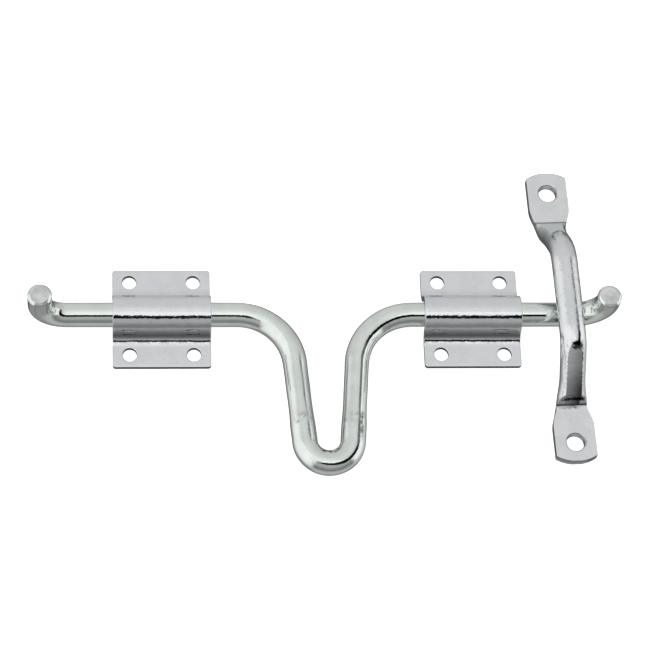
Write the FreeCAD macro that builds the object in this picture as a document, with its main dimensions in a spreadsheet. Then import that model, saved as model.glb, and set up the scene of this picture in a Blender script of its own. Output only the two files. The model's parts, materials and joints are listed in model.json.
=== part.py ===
"""Sliding gate bolt: a bent round bar in two guide brackets, with a forged keeper.

Millimetres. The row origin is the centre of the right guide's four holes, on the
mounting plane. +X runs along the bar towards the keeper, +Y is away from the pull
handle and +Z points out of the gate, away from the mounting plane at Z = 0.
"""
import FreeCAD, Part
import math
import os
import Sketcher

AXIS_X = -1      # the sketch's own horizontal axis, which starts at its origin
AXIS_Y = -2      # the sketch's own vertical axis
START, END, CENTRE = 1, 2, 3
TOLERANCE = 0.01
LEAST_CUT = 1.0  # cubic millimetres

DIMENSIONS = {
    # the bolt bar
    "bar_radius": 6.35,
    "bar_axis_height": 7.0,
    "bar_middle_offset": -77.6,
    "hook_reach": 147.0,
    "left_hook_rise": 25.0,
    "right_hook_rise": 23.5,
    "left_hook_bend_radius": 13.5,
    "right_hook_bend_radius": 17.5,
    "tip_chamfer": 1.4,
    "shoulder_radius": 30.0,
    "grip_radius": 12.4,
    "grip_centre_drop": 70.5,
    "leg_splay_degrees": 4.8,
    # the guide brackets
    "guide_spacing": 162.0,
    "guide_width": 50.8,
    "guide_sheet": 2.5,
    "guide_half_depth": 27.6,
    "guide_crown_height": 6.15,
    "guide_crown_radius": 10.25,
    "guide_foot_radius": 6.0,
    "guide_corner_radius": 1.5,
    "guide_hole_radius": 3.75,
    "guide_hole_across": 33.2,
    "guide_hole_along": 41.2,
    # the keeper
    "keeper_offset": 47.8,
    "keeper_shift": 0.5,
    "keeper_turn_degrees": 1.9,
    "keeper_bar_radius": 6.75,
    "keeper_arch_height": 29.0,
    "keeper_arch_radius": 18.0,
    "keeper_riser_degrees": 43.0,
    "keeper_riser_reach": 42.8,
    "keeper_riser_base": 12.8,
    "keeper_fold": 51.6,
    "keeper_pad_thickness": 5.0,
    "keeper_pad_width": 21.4,
    "keeper_neck_width": 16.0,
    "keeper_flare_radius": 20.0,
    "keeper_pad_end": 82.8,
    "keeper_end_radius": 20.0,
    "keeper_corner_radius": 2.0,
    "keeper_hole_spacing": 143.5,
    "keeper_hole_radius": 4.75,
}

doc = FreeCAD.newDocument("gate_bolt")
sheet = doc.addObject("Spreadsheet::Sheet", "Dimensions")
for row, (alias, value) in enumerate(DIMENSIONS.items(), start=1):
    sheet.set("A%d" % row, alias)
    sheet.set("B%d" % row, str(value))
    sheet.setAlias("B%d" % row, alias)
doc.recompute()


def size(alias):
    """The value that the sheet holds under this alias."""
    return float(sheet.get(alias))


def cell(text):
    """An expression in which every alias is looked up in the sheet."""
    words = []
    for word in text.split():
        words.append("Dimensions." + word if word in DIMENSIONS else word)
    return " ".join(words)


def origin_plane(body, role):
    """One of the body's own origin planes, such as XY_Plane."""
    for feature in body.Origin.OriginFeatures:
        if feature.Role == role:
            return feature
    raise ValueError(role)


def new_body(label):
    """An empty sub-part whose label names its file."""
    body = doc.addObject("PartDesign::Body", label)
    body.Label = label
    return body


def new_sketch(body, name, role, offset=None):
    """A sketch on one of the body's origin planes; offset moves its origin there."""
    sketch = body.newObject("Sketcher::SketchObject", name)
    sketch.AttachmentSupport = (origin_plane(body, role), "")
    sketch.MapMode = "FlatFace"
    for axis, expression in (offset or {}).items():
        sketch.setExpression("AttachmentOffset.Base." + axis, cell(expression))
    return sketch


def drive(sketch, index, name, expression):
    """Names a dimension and binds it to the sheet."""
    sketch.renameConstraint(index, name)
    sketch.setExpression("Constraints." + name, cell(expression))


def add_circle(sketch, centre, radius_alias, name):
    """A circle at a fixed place whose radius comes from the sheet."""
    point = FreeCAD.Vector(centre[0], centre[1], 0)
    circle = Part.Circle(point, FreeCAD.Vector(0, 0, 1), size(radius_alias))
    edge = sketch.addGeometry(circle, False)
    index = sketch.addConstraint(Sketcher.Constraint("Radius", edge, size(radius_alias)))
    drive(sketch, index, name, radius_alias)
    return edge


def arc_between(centre, radius, start_degrees, end_degrees):
    """A counter-clockwise arc in the sketch plane."""
    normal = FreeCAD.Vector(0, 0, 1)
    circle = Part.Circle(FreeCAD.Vector(centre[0], centre[1], 0), normal, radius)
    return Part.ArcOfCircle(circle, math.radians(start_degrees), math.radians(end_degrees))


def line_between(first, second):
    """A straight sketch edge."""
    return Part.LineSegment(FreeCAD.Vector(*first, 0), FreeCAD.Vector(*second, 0))


def constrain(sketch, *arguments):
    """Adds one constraint and gives its index."""
    return sketch.addConstraint(Sketcher.Constraint(*arguments))


def constrain_to(sketch, name, expression, value, kind, *arguments):
    """Adds one dimension with a name, bound to the sheet."""
    index = constrain(sketch, kind, *arguments, value)
    drive(sketch, index, name, expression)


def join_smoothly(sketch, joints):
    """Ends that meet with one tangent; each joint is edge, end, edge, end."""
    for joint in joints:
        constrain(sketch, "Tangent", *joint)


def join_sharply(sketch, joints):
    """Ends that meet at a corner."""
    for joint in joints:
        constrain(sketch, "Coincident", *joint)


def place_point(sketch, edge, point, name, across, along):
    """Binds a point's two distances from the sketch origin; each is sign, expression, value."""
    for kind, axis, (sign, expression, value) in (("DistanceX", "across", across),
                                                  ("DistanceY", "along", along)):
        ends = (AXIS_X, START, edge, point) if sign > 0 else (edge, point, AXIS_X, START)
        constrain_to(sketch, name + "_" + axis, expression, value, kind, *ends)


def edges_where(shape, test):
    """Names of the shape's edges that pass the test."""
    return ["Edge%d" % number for number, edge in enumerate(shape.Edges, start=1) if test(edge)]


def is_upright(edge):
    """A straight edge along Z."""
    if not isinstance(edge.Curve, Part.Line):
        return False
    return abs(edge.Curve.Direction.z) > 0.999


def near(value, target):
    """Equal for the purpose of picking edges."""
    return abs(value - target) < TOLERANCE


def add_pad(body, sketch, name, expression, midplane=False):
    """A pad along the sketch normal."""
    pad = body.newObject("PartDesign::Pad", name)
    pad.Profile = sketch
    pad.setExpression("Length", cell(expression))
    if midplane:
        pad.SideType = "Symmetric"
    return pad


def add_through_pocket(body, sketch, name):
    """A cut through everything above the sketch; it must remove material."""
    before = body.Shape.Volume
    pocket = body.newObject("PartDesign::Pocket", name)
    pocket.Profile = sketch
    pocket.Type = "ThroughAll"
    pocket.Reversed = True
    doc.recompute()
    if body.Shape.Volume > before - LEAST_CUT:
        raise ValueError(name + " cuts nothing")
    return pocket


def dress_edges(body, kind, name, test, setting, expression):
    """A fillet or chamfer on the edges of the body so far that pass the test."""
    base = body.Tip
    names = edges_where(base.Shape, test)
    feature = body.newObject("PartDesign::" + kind, name)
    feature.Base = (base, names)
    feature.setExpression(setting, cell(expression))
    body.Tip = feature
    return feature


def add_mirror(body, originals, name):
    """The same features on the other side of the XZ plane."""
    mirror = body.newObject("PartDesign::Mirrored", name)
    mirror.Originals = originals
    mirror.MirrorPlane = (origin_plane(body, "XZ_Plane"), [""])
    body.Tip = mirror
    doc.recompute()
    return mirror


# ---------------------------------------------------------------- the bolt

def bar_path(body):
    """The bar's centre line between the two hooks: bar, shoulder, leg, grip and back."""
    sketch = new_sketch(body, "bar_path", "XY_Plane")
    splay = math.radians(size("leg_splay_degrees"))
    shoulder = size("shoulder_radius")
    grip = size("grip_radius")
    drop = size("grip_centre_drop")
    left_length = size("hook_reach") - size("left_hook_bend_radius")
    right_length = size("hook_reach") - size("right_hook_bend_radius")
    leg = ((shoulder + grip) * math.sin(splay) + drop - shoulder) / math.cos(splay)
    shoulder_x = (shoulder + grip) * math.cos(splay) + leg * math.sin(splay)
    top = (shoulder_x - shoulder * math.cos(splay), shoulder * (math.sin(splay) - 1))
    bottom = (grip * math.cos(splay), -drop - grip * math.sin(splay))
    lean = size("leg_splay_degrees")
    edges = [
        line_between((-left_length, 0), (-shoulder_x, 0)),
        arc_between((-shoulder_x, -shoulder), shoulder, lean, 90),
        line_between((-bottom[0], bottom[1]), (-top[0], top[1])),
        arc_between((0, -drop), grip, 180 + lean, 360 - lean),
        line_between(bottom, top),
        arc_between((shoulder_x, -shoulder), shoulder, 90, 180 - lean),
        line_between((shoulder_x, 0), (right_length, 0)),
    ]
    left_bar, left_shoulder, left_leg, grip_arc, right_leg, right_shoulder, right_bar = range(7)
    sketch.addGeometry(edges, False)
    join_smoothly(sketch, [
        (left_bar, END, left_shoulder, END),
        (left_shoulder, START, left_leg, END),
        (left_leg, START, grip_arc, START),
        (grip_arc, END, right_leg, START),
        (right_leg, END, right_shoulder, END),
        (right_shoulder, START, right_bar, START),
    ])
    constrain(sketch, "Horizontal", left_bar)
    constrain(sketch, "Horizontal", right_bar)
    constrain(sketch, "PointOnObject", left_bar, START, AXIS_X)
    constrain(sketch, "PointOnObject", right_bar, END, AXIS_X)
    constrain(sketch, "PointOnObject", grip_arc, CENTRE, AXIS_Y)
    constrain(sketch, "Equal", left_shoulder, right_shoulder)
    constrain_to(sketch, "shoulder", "shoulder_radius", shoulder, "Radius", left_shoulder)
    constrain_to(sketch, "grip", "grip_radius", grip, "Radius", grip_arc)
    constrain_to(sketch, "drop", "grip_centre_drop", drop, "DistanceY", grip_arc, CENTRE, AXIS_X, START)
    constrain_to(sketch, "left_lean", "( 90 + leg_splay_degrees ) * 1 deg",
                 math.pi / 2 + splay, "Angle", left_leg)
    constrain_to(sketch, "right_lean", "( 90 - leg_splay_degrees ) * 1 deg",
                 math.pi / 2 - splay, "Angle", right_leg)
    constrain_to(sketch, "left_end", "hook_reach - left_hook_bend_radius", left_length,
                 "DistanceX", left_bar, START, AXIS_X, START)
    constrain_to(sketch, "right_end", "hook_reach - right_hook_bend_radius", right_length,
                 "DistanceX", AXIS_X, START, right_bar, END)
    return sketch


def add_hook(body, side, name):
    """One end of the bar: a quarter bend towards +Z and a short upright."""
    bend_alias = name + "_bend_radius"
    bend = size(bend_alias)
    away = "hook_reach - " + bend_alias if side > 0 else bend_alias + " - hook_reach"
    section = new_sketch(body, name + "_section", "YZ_Plane", {"y": bend_alias, "z": away})
    circle = add_circle(section, (0, -bend), "bar_radius", "radius")
    constrain(section, "PointOnObject", circle, CENTRE, AXIS_Y)
    constrain_to(section, "bend", bend_alias, bend, "DistanceY", circle, CENTRE, AXIS_X, START)
    elbow = body.newObject("PartDesign::Revolution", name + "_elbow")
    elbow.Profile = section
    elbow.ReferenceAxis = (section, ["H_Axis"])
    elbow.Angle = 90
    elbow.Reversed = side > 0
    upright = new_sketch(body, name + "_upright_section", "XY_Plane", {"z": bend_alias})
    circle = add_circle(upright, (side * size("hook_reach"), 0), "bar_radius", "radius")
    constrain(upright, "PointOnObject", circle, CENTRE, AXIS_X)
    ends = (AXIS_X, START, circle, CENTRE) if side > 0 else (circle, CENTRE, AXIS_X, START)
    constrain_to(upright, "reach", "hook_reach", size("hook_reach"), "DistanceX", *ends)
    add_pad(body, upright, name + "_upright", name + "_rise - " + bend_alias)


def make_bolt():
    """One round bar with a U-shaped pull handle and both ends turned up."""
    body = new_body("bolt")
    path = bar_path(body)
    section = new_sketch(body, "bar_section", "YZ_Plane",
                         {"z": "left_hook_bend_radius - hook_reach"})
    circle = add_circle(section, (0, 0), "bar_radius", "radius")
    constrain(section, "Coincident", circle, CENTRE, AXIS_X, START)
    bar = body.newObject("PartDesign::AdditivePipe", "bar")
    bar.Profile = section
    bar.Spine = (path, ["Edge%d" % number for number in range(1, 8)])
    add_hook(body, -1, "left_hook")
    add_hook(body, 1, "right_hook")
    doc.recompute()
    tips = (size("left_hook_rise"), size("right_hook_rise"))
    dress_edges(body, "Chamfer", "tip_chamfers",
                lambda edge: any(near(edge.BoundBox.ZMin, tip) for tip in tips),
                "Size", "tip_chamfer")
    body.setExpression("Placement.Base.x", cell("bar_middle_offset"))
    body.setExpression("Placement.Base.z", cell("bar_axis_height"))
    return body


# ---------------------------------------------------------------- the guides

def guide_half_profile(body):
    """One half of the hat section, from the top of the crown to the flange's edge.

    The crown's arc runs straight into the foot's, with no flat wall between them.
    """
    sketch = new_sketch(body, "half_profile", "YZ_Plane")
    gauge = size("guide_sheet")
    crown = size("guide_crown_radius")
    foot = size("guide_foot_radius")
    depth = size("guide_half_depth")
    height = size("guide_crown_height")
    foot_z = gauge + foot
    foot_y = math.sqrt((crown + foot) ** 2 - (foot_z - height) ** 2)
    bore = crown - gauge
    tilt = math.degrees(math.atan2(foot_z - height, foot_y))
    edges = [
        arc_between((0, height), bore, tilt, 90),
        arc_between((foot_y, foot_z), foot + gauge, 180 + tilt, 270),
        line_between((foot_y, 0), (depth, 0)),
        line_between((depth, 0), (depth, gauge)),
        line_between((depth, gauge), (foot_y, gauge)),
        arc_between((foot_y, foot_z), foot, 180 + tilt, 270),
        arc_between((0, height), crown, tilt, 90),
        line_between((0, height + crown), (0, height + bore)),
    ]
    (bore_arc, under_foot, flange_back, flange_edge,
     flange_front, over_foot, crown_arc, middle) = range(8)
    sketch.addGeometry(edges, False)
    join_smoothly(sketch, [
        (bore_arc, START, under_foot, START),
        (under_foot, END, flange_back, START),
        (flange_front, END, over_foot, END),
        (over_foot, START, crown_arc, START),
    ])
    join_sharply(sketch, [
        (flange_back, END, flange_edge, START),
        (flange_edge, END, flange_front, START),
        (crown_arc, END, middle, START),
        (middle, END, bore_arc, END),
        (bore_arc, CENTRE, crown_arc, CENTRE),
        (under_foot, CENTRE, over_foot, CENTRE),
    ])
    constrain(sketch, "Vertical", flange_edge)
    for face in (flange_back, flange_front):
        constrain(sketch, "Horizontal", face)
    constrain(sketch, "PointOnObject", bore_arc, CENTRE, AXIS_Y)
    constrain(sketch, "PointOnObject", middle, START, AXIS_Y)
    constrain(sketch, "PointOnObject", middle, END, AXIS_Y)
    constrain(sketch, "PointOnObject", flange_back, END, AXIS_X)
    constrain_to(sketch, "height", "guide_crown_height", height,
                 "DistanceY", AXIS_X, START, bore_arc, CENTRE)
    constrain_to(sketch, "crown", "guide_crown_radius", crown, "Radius", crown_arc)
    constrain_to(sketch, "foot", "guide_foot_radius", foot, "Radius", over_foot)
    constrain_to(sketch, "gauge", "guide_sheet", gauge, "Distance", flange_edge)
    constrain_to(sketch, "depth", "guide_half_depth", depth,
                 "DistanceX", AXIS_X, START, flange_edge, START)
    return sketch


def make_guide(label):
    """A pressed hat-section bracket with a screw hole near each corner."""
    body = new_body(label)
    half = add_pad(body, guide_half_profile(body), "half_hat", "guide_width", midplane=True)
    doc.recompute()
    add_mirror(body, [half], "whole_hat")
    holes = new_sketch(body, "screw_holes", "XY_Plane")
    across = size("guide_hole_across") / 2
    along = size("guide_hole_along") / 2
    corners = [(x, y) for y in (-1, 1) for x in (-1, 1)]
    for number, (x, y) in enumerate(corners, start=1):
        name = "hole%d" % number
        circle = add_circle(holes, (x * across, y * along), "guide_hole_radius", name)
        place_point(holes, circle, CENTRE, name, (x, "guide_hole_across / 2", across),
                    (y, "guide_hole_along / 2", along))
    add_through_pocket(body, holes, "screw_hole_cuts")
    half_width = size("guide_width") / 2
    depth = size("guide_half_depth")
    dress_edges(body, "Fillet", "corner_rounds",
                lambda edge: is_upright(edge)
                and near(abs(edge.BoundBox.Center.x), half_width)
                and near(abs(edge.BoundBox.Center.y), depth),
                "Radius", "guide_corner_radius")
    return body


# ---------------------------------------------------------------- the keeper

def keeper_pad_outline(body):
    """The forged pad seen from above: a neck that flares to a round-ended tongue."""
    sketch = new_sketch(body, "pad_outline", "XY_Plane")
    neck = size("keeper_neck_width") / 2
    wide = size("keeper_pad_width") / 2
    flare = size("keeper_flare_radius")
    fold = size("keeper_fold")
    end_radius = size("keeper_end_radius")
    end_centre = size("keeper_pad_end") - end_radius
    flare_rise = math.sqrt(flare ** 2 - (flare - wide + neck) ** 2)
    flare_angle = math.degrees(math.asin(flare_rise / flare))
    side_end = end_centre + math.sqrt(end_radius ** 2 - wide ** 2)
    end_angle = math.degrees(math.acos(wide / end_radius))
    flare_top = fold + flare_rise
    edges = [
        line_between((-neck, fold), (neck, fold)),
        arc_between((wide - flare, flare_top), flare, -flare_angle, 0),
        line_between((wide, flare_top), (wide, side_end)),
        arc_between((0, end_centre), end_radius, end_angle, 180 - end_angle),
        line_between((-wide, side_end), (-wide, flare_top)),
        arc_between((flare - wide, flare_top), flare, 180, 180 + flare_angle),
    ]
    neck_line, right_flare, right_side, end_arc, left_side, left_flare = range(6)
    sketch.addGeometry(edges, False)
    join_smoothly(sketch, [
        (right_flare, END, right_side, START),
        (left_side, END, left_flare, START),
    ])
    join_sharply(sketch, [
        (neck_line, START, left_flare, END),
        (neck_line, END, right_flare, START),
        (right_side, END, end_arc, START),
        (end_arc, END, left_side, START),
    ])
    constrain(sketch, "Vertical", right_side)
    constrain(sketch, "Vertical", left_side)
    constrain(sketch, "Symmetric", neck_line, START, neck_line, END, AXIS_Y)
    constrain(sketch, "PointOnObject", end_arc, CENTRE, AXIS_Y)
    constrain(sketch, "Equal", right_flare, left_flare)
    constrain_to(sketch, "neck", "keeper_neck_width", 2 * neck, "Distance", neck_line)
    constrain_to(sketch, "fold", "keeper_fold", fold, "DistanceY", AXIS_X, START, neck_line, START)
    constrain_to(sketch, "end_radius", "keeper_end_radius", end_radius, "Radius", end_arc)
    constrain_to(sketch, "end_centre", "keeper_pad_end - keeper_end_radius", end_centre,
                 "DistanceY", AXIS_X, START, end_arc, CENTRE)
    constrain_to(sketch, "width", "keeper_pad_width", 2 * wide,
                 "DistanceX", left_side, START, right_side, END)
    constrain_to(sketch, "half_width", "keeper_pad_width / 2", wide,
                 "DistanceX", AXIS_X, START, right_side, END)
    constrain_to(sketch, "flare", "keeper_flare_radius", flare, "Radius", right_flare)
    return sketch


def keeper_arch_path(body):
    """The arch's centre line from one riser's base to the other's."""
    sketch = new_sketch(body, "arch_path", "YZ_Plane")
    reach = size("keeper_riser_reach")
    base = size("keeper_riser_base")
    height = size("keeper_arch_height")
    radius = size("keeper_arch_radius")
    slope = math.radians(size("keeper_riser_degrees"))
    corner = reach - (height - base) / math.tan(slope)
    setback = radius * math.tan(slope / 2)
    flat = corner - setback
    rise_y = corner + setback * math.cos(slope)
    rise_z = height - setback * math.sin(slope)
    lean = size("keeper_riser_degrees")
    edges = [
        line_between((reach, base), (rise_y, rise_z)),
        arc_between((flat, height - radius), radius, 90 - lean, 90),
        line_between((flat, height), (-flat, height)),
        arc_between((-flat, height - radius), radius, 90, 90 + lean),
        line_between((-reach, base), (-rise_y, rise_z)),
    ]
    far_riser, far_arc, top, near_arc, near_riser = range(5)
    sketch.addGeometry(edges, False)
    join_smoothly(sketch, [
        (far_riser, END, far_arc, START),
        (far_arc, END, top, START),
        (top, END, near_arc, START),
        (near_arc, END, near_riser, END),
    ])
    constrain(sketch, "Horizontal", top)
    constrain(sketch, "Equal", near_arc, far_arc)
    constrain_to(sketch, "bend", "keeper_arch_radius", radius, "Radius", near_arc)
    constrain_to(sketch, "height", "keeper_arch_height", height, "DistanceY", AXIS_X, START, top, START)
    constrain_to(sketch, "near_slope", "keeper_riser_degrees * 1 deg", slope, "Angle", near_riser)
    constrain_to(sketch, "far_slope", "( 180 - keeper_riser_degrees ) * 1 deg",
                 math.pi - slope, "Angle", far_riser)
    place_point(sketch, near_riser, START, "near_base", (-1, "keeper_riser_reach", reach),
                (1, "keeper_riser_base", base))
    place_point(sketch, far_riser, START, "far_base", (1, "keeper_riser_reach", reach),
                (1, "keeper_riser_base", base))
    return sketch


def riser_section(body, name):
    """The round section at the +Y riser's base, square to the riser."""
    sketch = new_sketch(body, name, "XZ_Plane",
                        {"y": "keeper_riser_base", "z": "0 - keeper_riser_reach"})
    tilt = FreeCAD.Rotation(FreeCAD.Vector(1, 0, 0), -size("keeper_riser_degrees"))
    sketch.AttachmentOffset = FreeCAD.Placement(sketch.AttachmentOffset.Base, tilt)
    sketch.setExpression("AttachmentOffset.Rotation.Angle",
                         cell("( 0 - keeper_riser_degrees ) * 1 deg"))
    circle = add_circle(sketch, (0, 0), "keeper_bar_radius", "radius")
    constrain(sketch, "Coincident", circle, CENTRE, AXIS_X, START)
    return sketch


def neck_section(body):
    """The flat section where the riser meets the pad."""
    sketch = new_sketch(body, "neck_section", "XZ_Plane", {"z": "0 - keeper_fold"})
    half = size("keeper_neck_width") / 2
    thick = size("keeper_pad_thickness")
    corners = [(-half, 0), (half, 0), (half, thick), (-half, thick)]
    for number in range(4):
        sketch.addGeometry(line_between(corners[number], corners[(number + 1) % 4]), False)
    join_sharply(sketch, [(number, END, (number + 1) % 4, START) for number in range(4)])
    bottom, right, top, left = range(4)
    constrain(sketch, "Symmetric", bottom, START, bottom, END, AXIS_X, START)
    constrain(sketch, "PointOnObject", bottom, START, AXIS_X)
    constrain(sketch, "Horizontal", top)
    constrain(sketch, "Vertical", right)
    constrain(sketch, "Vertical", left)
    constrain_to(sketch, "width", "keeper_neck_width", 2 * half, "Distance", bottom)
    constrain_to(sketch, "thickness", "keeper_pad_thickness", thick, "Distance", right)
    return sketch


def make_keeper():
    """A round bar arched over the bolt, with both ends forged flat and drilled."""
    body = new_body("keeper")
    pad = add_pad(body, keeper_pad_outline(body), "pad", "keeper_pad_thickness")
    neck = body.newObject("PartDesign::AdditiveLoft", "neck")
    neck.Profile = riser_section(body, "riser_section")
    neck.Sections = [neck_section(body)]
    doc.recompute()
    add_mirror(body, [pad, neck], "other_pad_and_neck")
    arch = body.newObject("PartDesign::AdditivePipe", "arch")
    arch.Profile = riser_section(body, "arch_section")
    arch.Spine = (keeper_arch_path(body), ["Edge%d" % number for number in range(1, 6)])
    doc.recompute()
    holes = new_sketch(body, "fixing_holes", "XY_Plane")
    along = size("keeper_hole_spacing") / 2
    for side in (-1, 1):
        name = "far" if side > 0 else "near"
        circle = add_circle(holes, (0, side * along), "keeper_hole_radius", name)
        constrain(holes, "PointOnObject", circle, CENTRE, AXIS_Y)
        ends = (AXIS_X, START, circle, CENTRE) if side > 0 else (circle, CENTRE, AXIS_X, START)
        constrain_to(holes, name + "_along", "keeper_hole_spacing / 2", along, "DistanceY", *ends)
    add_through_pocket(body, holes, "fixing_hole_cuts")
    wide = size("keeper_pad_width") / 2
    fold = size("keeper_fold")
    dress_edges(body, "Fillet", "pad_corner_rounds",
                lambda edge: is_upright(edge)
                and near(abs(edge.BoundBox.Center.x), wide)
                and abs(edge.BoundBox.Center.y) > fold + 2 * wide,
                "Radius", "keeper_corner_radius")
    body.setExpression("Placement.Base.x", cell("keeper_offset"))
    body.setExpression("Placement.Base.y", cell("keeper_shift"))
    body.setExpression("Placement.Rotation.Angle", cell("keeper_turn_degrees * 1 deg"))
    return body


# ---------------------------------------------------------------- the assembly

def check_and_write(parts):
    """Stops on any failed object, then writes one STEP file for each sub-part."""
    doc.recompute()
    for item in doc.Objects:
        if "Invalid" in item.State or "Error" in item.State:
            raise ValueError("%s failed: %s" % (item.Label, item.State))
    os.makedirs("parts", exist_ok=True)
    for part in parts:
        shape = part.Shape
        if shape.isNull() or not shape.isValid():
            raise ValueError(part.Label + " has no valid shape")
        shape.exportStep(os.path.join("parts", part.Label + ".step"))
        box = shape.BoundBox
        print("%-12s solids %d volume %8.0f  x %.1f %.1f  y %.1f %.1f  z %.2f %.2f" % (
            part.Label, len(shape.Solids), shape.Volume,
            box.XMin, box.XMax, box.YMin, box.YMax, box.ZMin, box.ZMax))


bolt = make_bolt()
right_guide = make_guide("right_guide")
left_guide = make_guide("left_guide")
left_guide.setExpression("Placement.Base.x", cell("0 - guide_spacing"))
keeper = make_keeper()
check_and_write([bolt, right_guide, left_guide, keeper])
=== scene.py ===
"""Looks for a gate slide bolt: a bent bar with a pull loop, two pressed guides and a forged keeper.

Everything is in metres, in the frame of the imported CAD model.
"""
import json
import math

import bmesh
import bpy
from mathutils import Matrix, Vector, geometry, noise


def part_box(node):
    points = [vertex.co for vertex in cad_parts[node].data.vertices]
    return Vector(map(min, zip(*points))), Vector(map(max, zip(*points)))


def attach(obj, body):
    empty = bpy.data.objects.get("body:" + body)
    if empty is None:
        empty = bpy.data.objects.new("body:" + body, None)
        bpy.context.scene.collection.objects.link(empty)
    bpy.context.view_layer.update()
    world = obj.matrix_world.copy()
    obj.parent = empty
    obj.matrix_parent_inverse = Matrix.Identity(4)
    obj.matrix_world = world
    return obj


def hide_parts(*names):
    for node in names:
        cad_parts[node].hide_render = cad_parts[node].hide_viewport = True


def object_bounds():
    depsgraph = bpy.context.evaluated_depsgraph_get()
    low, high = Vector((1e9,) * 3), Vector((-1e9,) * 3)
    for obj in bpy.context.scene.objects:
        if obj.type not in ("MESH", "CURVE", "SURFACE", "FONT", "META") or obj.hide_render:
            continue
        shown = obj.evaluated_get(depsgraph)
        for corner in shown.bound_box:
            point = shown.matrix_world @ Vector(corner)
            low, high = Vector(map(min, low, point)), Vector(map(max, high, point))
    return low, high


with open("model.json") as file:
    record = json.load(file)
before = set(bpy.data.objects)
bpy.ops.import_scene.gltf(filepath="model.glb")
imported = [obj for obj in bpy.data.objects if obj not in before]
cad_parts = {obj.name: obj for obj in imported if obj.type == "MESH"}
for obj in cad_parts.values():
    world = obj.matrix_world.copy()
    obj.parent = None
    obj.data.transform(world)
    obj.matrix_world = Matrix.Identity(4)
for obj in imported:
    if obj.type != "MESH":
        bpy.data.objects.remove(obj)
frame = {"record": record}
cad_low, cad_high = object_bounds()
MM = 0.001
X_AXIS = Vector((1, 0, 0))
Y_AXIS = Vector((0, 1, 0))
Z_AXIS = Vector((0, 0, 1))


# ---------------------------------------------------------------- small helpers

def smooth_step(low, high, value):
    """0 up to low, 1 from high on and an even ease between; low may also be the larger of the two."""
    share = min(max((value - low) / (high - low), 0.0), 1.0)
    return share * share * (3 - 2 * share)


def mix(start, end, share):
    return start + (end - start) * share


def soft_min(first, second, reach):
    """The lower of two heights, with a rounded corner of about the given reach."""
    gap = max(reach - abs(first - second), 0.0) / reach
    return min(first, second) - gap * gap * reach / 4


def soft_max(first, second, reach):
    return -soft_min(-first, -second, reach)


def bell(offset, width):
    """1 at no offset, falling off evenly on both sides over about the given width."""
    return math.exp(-(offset / width) ** 2)


def signed_power(value, power):
    return math.copysign(abs(value) ** power, value)


def ripple(place, size, seed=0.0):
    """Smooth noise from -1 to 1 whose bumps are about size across."""
    return noise.noise(place / size + Vector((seed, 1.7 * seed, -0.6 * seed)))


def waves(place, layers):
    """The sum of some ripples, each given as a height, a size and a seed."""
    return sum(height * ripple(place, size, seed) for height, size, seed in layers)


def mesh_object(name, bm, sharp_degrees=40):
    """Turns a bmesh into a smooth-shaded object with crisp edges only above the given angle."""
    bmesh.ops.recalc_face_normals(bm, faces=bm.faces[:])
    mesh = bpy.data.meshes.new(name)
    bm.to_mesh(mesh)
    bm.free()
    mesh.shade_smooth()
    mesh.set_sharp_from_angle(angle=math.radians(sharp_degrees))
    made = bpy.data.objects.new(name, mesh)
    bpy.context.scene.collection.objects.link(made)
    return made


def paint(made, name, level_at):
    """Stores level_at(place, normal) on every vertex, for the material to read."""
    layer = made.data.attributes.new(name, "FLOAT", "POINT")
    for vertex, value in zip(made.data.vertices, layer.data):
        value.value = min(max(level_at(vertex.co, vertex.normal), 0.0), 1.0)


def skin(bm, rings):
    """Quads between neighbouring rings of vertices."""
    for first, second in zip(rings, rings[1:]):
        count = len(first)
        for number in range(count):
            after = (number + 1) % count
            bm.faces.new((first[number], first[after], second[after], second[number]))


# ---------------------------------------------------------------- the bar

bolt_low, bolt_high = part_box("bolt")
BAR_RADIUS = 6.35 * MM
BAR_HEIGHT = bolt_low.z + BAR_RADIUS
HOOK_BENDS = (13.5 * MM, 17.5 * MM)
HOOK_RISES = (25.0 * MM, 23.5 * MM)
SHOULDER_RADIUS = 30.0 * MM
GRIP_RADIUS = 12.4 * MM
GRIP_DROP = 70.5 * MM
LEG_SPLAY = math.radians(4.8)
BAR_SIDES = 64
BAR_STEP = 1.2 * MM
TIP_CHAMFER = 1.4 * MM
TIP_RINGS = 7
TIP_CORNERS = [(0.35, 0.45), (0, 1)]  # below the bar's radius and in from its end, in chamfers
TIP_MATERIAL = 1
SAW_MARK = 0.10 * MM
BAR_WAVES = [(0.05 * MM, 9 * MM, 3.0), (0.02 * MM, 3.2 * MM, 8.0)]
WAVE_SHARES = (0.35, 1.6)

# Places down the handle, along Y.
DRAWN = (-22 * MM, -34 * MM)
WAIST = -50 * MM
PRESSED = (-54 * MM, -64 * MM)
# Where painted dark blotches sit, at the end of the grip's die.
SHADE_BLOTS = -60 * MM


def walk(start, heading, legs, step=BAR_STEP):
    """Points with headings and distances along straight runs and bends.

    A leg is a run's length, or a bend's radius, angle and axis."""
    point, heading = start.copy(), heading.copy()
    travelled = 0.0
    trail = [(point.copy(), heading.copy(), travelled)]
    for leg in legs:
        if isinstance(leg, float):
            count = max(1, round(leg / step))
            for _ in range(count):
                point = point + heading * (leg / count)
                travelled += leg / count
                trail.append((point.copy(), heading.copy(), travelled))
            continue
        radius, angle, axis = leg
        centre = point + axis.cross(heading) * radius
        length = radius * abs(angle)
        count = max(8, round(length / step))
        arm = point - centre
        for number in range(1, count + 1):
            turn = Matrix.Rotation(angle * number / count, 3, axis)
            trail.append((centre + turn @ arm, turn @ heading, travelled + length * number / count))
        point, heading, travelled = trail[-1]
    return trail


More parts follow.
